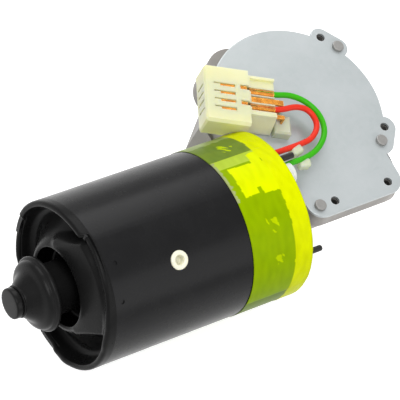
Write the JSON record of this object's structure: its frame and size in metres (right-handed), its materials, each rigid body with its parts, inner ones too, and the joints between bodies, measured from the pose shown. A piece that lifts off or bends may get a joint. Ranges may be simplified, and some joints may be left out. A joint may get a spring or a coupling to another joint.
{
  "type": "wiper motor",
  "caption": "Wiper motor: a round motor, a worm drive in a cast gearbox, a connector on short leads and an output shaft with a threaded end.",
  "frame": {"origin": "on the output shaft's axis, in the plane of the mounting bosses' faces", "axes": "+Z out through the cover plate, away from the output shaft's free end; the motor's axis runs along X with its closed end towards -X; +Y from the motor towards the output shaft"},
  "size_m": [0.2178, 0.1224, 0.1014],
  "materials": {
    "cast_alloy": "as cast, matt",
    "gasket_rubber": "matt",
    "zinc_plate": "zinc plated sheet",
    "rivet_steel": "zinc plated",
    "black_paint": "black satin paint",
    "white_nylon": "matt",
    "yellow_tape": "glossy vinyl",
    "black_plastic": "satin",
    "ferrite": "matt sintered ferrite",
    "sintered_bronze": "sintered",
    "spring_steel": "plain",
    "ground_steel": "ground",
    "core_steel": "stamped stack",
    "enamelled_copper": "enamelled wire",
    "copper": "turned copper",
    "moulding_compound": "matt",
    "black_screw": "black oxide",
    "brass_strip": "plain",
    "brush_carbon": "matt carbon",
    "gear_nylon": "moulded, greased",
    "ivory_nylon": "ivory, slightly see-through",
    "clear_nylon": "milky, see-through",
    "green_insulation": "glossy",
    "red_insulation": "glossy"
  },
  "bodies": {
    "housing": {"gear_housing": "cast_alloy", "cover_gasket": "gasket_rubber", "cover_plate": "zinc_plate", "cover_rivets": "rivet_steel", "motor_casing": "black_paint", "vent_eyelet": "white_nylon", "joint_tape": "yellow_tape", "end_shield": "black_paint", "bearing_cap": "black_plastic", "magnets": "ferrite", "rear_bush": "sintered_bronze", "bush_retainer": "spring_steel", "brush_plate": "white_nylon", "brush_plate_screws": "black_screw", "brush_holders": "brass_strip", "common_brush_spring": "spring_steel", "low_speed_brush_spring": "spring_steel", "high_speed_brush_spring": "spring_steel", "chokes": "enamelled_copper", "thermal_cutout": "moulding_compound", "bearing_outer_ring": "ground_steel", "worm_end_bush": "sintered_bronze", "thrust_pad": "sintered_bronze", "thrust_screw": "black_screw", "thrust_locknut": "rivet_steel", "output_bushes": "sintered_bronze", "shaft_seal": "gasket_rubber", "connector_housing": "ivory_nylon", "low_speed_terminal": "brass_strip", "high_speed_terminal": "brass_strip", "park_terminal": "brass_strip", "earth_terminal": "brass_strip", "terminal_foot": "clear_nylon", "contact_carrier": "white_nylon", "park_contacts": "brass_strip", "wire_grommets": "gasket_rubber", "green_wire": "green_insulation", "red_wire": "red_insulation", "wire_clips": "clear_nylon"},
    "armature": {"armature_shaft": "ground_steel", "armature_core": "core_steel", "armature_winding": "enamelled_copper", "commutator": "copper", "commutator_hub": "moulding_compound", "bearing_inner_ring": "ground_steel"},
    "ball_set": {"bearing_balls": "ground_steel", "ball_cage": "spring_steel"},
    "output": {"worm_wheel": "gear_nylon", "output_shaft": "ground_steel", "park_disc": "brass_strip", "wheel_circlip": "spring_steel", "wheel_washer": "sintered_bronze"},
    "common_brush": {"common_brush": "brush_carbon"},
    "low_speed_brush": {"low_speed_brush": "brush_carbon"},
    "high_speed_brush": {"high_speed_brush": "brush_carbon"}
  },
  "joints": [
    {"name": "armature_spin", "type": "hinge", "parent": "housing", "child": "armature", "pos_m": [0, -0.03675, 0.024], "axis": [1, 0, 0], "continuous": true},
    {"name": "ball_spin", "type": "hinge", "parent": "housing", "child": "ball_set", "pos_m": [0, -0.03675, 0.024], "axis": [1, 0, 0], "continuous": true},
    {"name": "output_spin", "type": "hinge", "parent": "housing", "child": "output", "pos_m": [0, 0, 0], "axis": [0, 0, 1], "continuous": true},
    {"name": "common_brush_slide", "type": "slide", "parent": "housing", "child": "common_brush", "axis": [0, 1, 0], "range_m": [0, 0.0025], "stiffness_N_per_m": 60, "springref_m": -0.004, "deforming": ["common_brush_spring"]},
    {"name": "low_speed_brush_slide", "type": "slide", "parent": "housing", "child": "low_speed_brush", "axis": [0, -1, 0], "range_m": [0, 0.0025], "stiffness_N_per_m": 60, "springref_m": -0.004, "deforming": ["low_speed_brush_spring"]},
    {"name": "high_speed_brush_slide", "type": "slide", "parent": "housing", "child": "high_speed_brush", "axis": [0, -0.5, -0.866], "range_m": [0, 0.0025], "stiffness_N_per_m": 60, "springref_m": -0.004, "deforming": ["high_speed_brush_spring"]}
  ],
  "couplings": [
    {"joint": "ball_spin", "follows": "armature_spin", "ratio": 0.37},
    {"joint": "output_spin", "follows": "armature_spin", "ratio": -0.02}
  ]
}
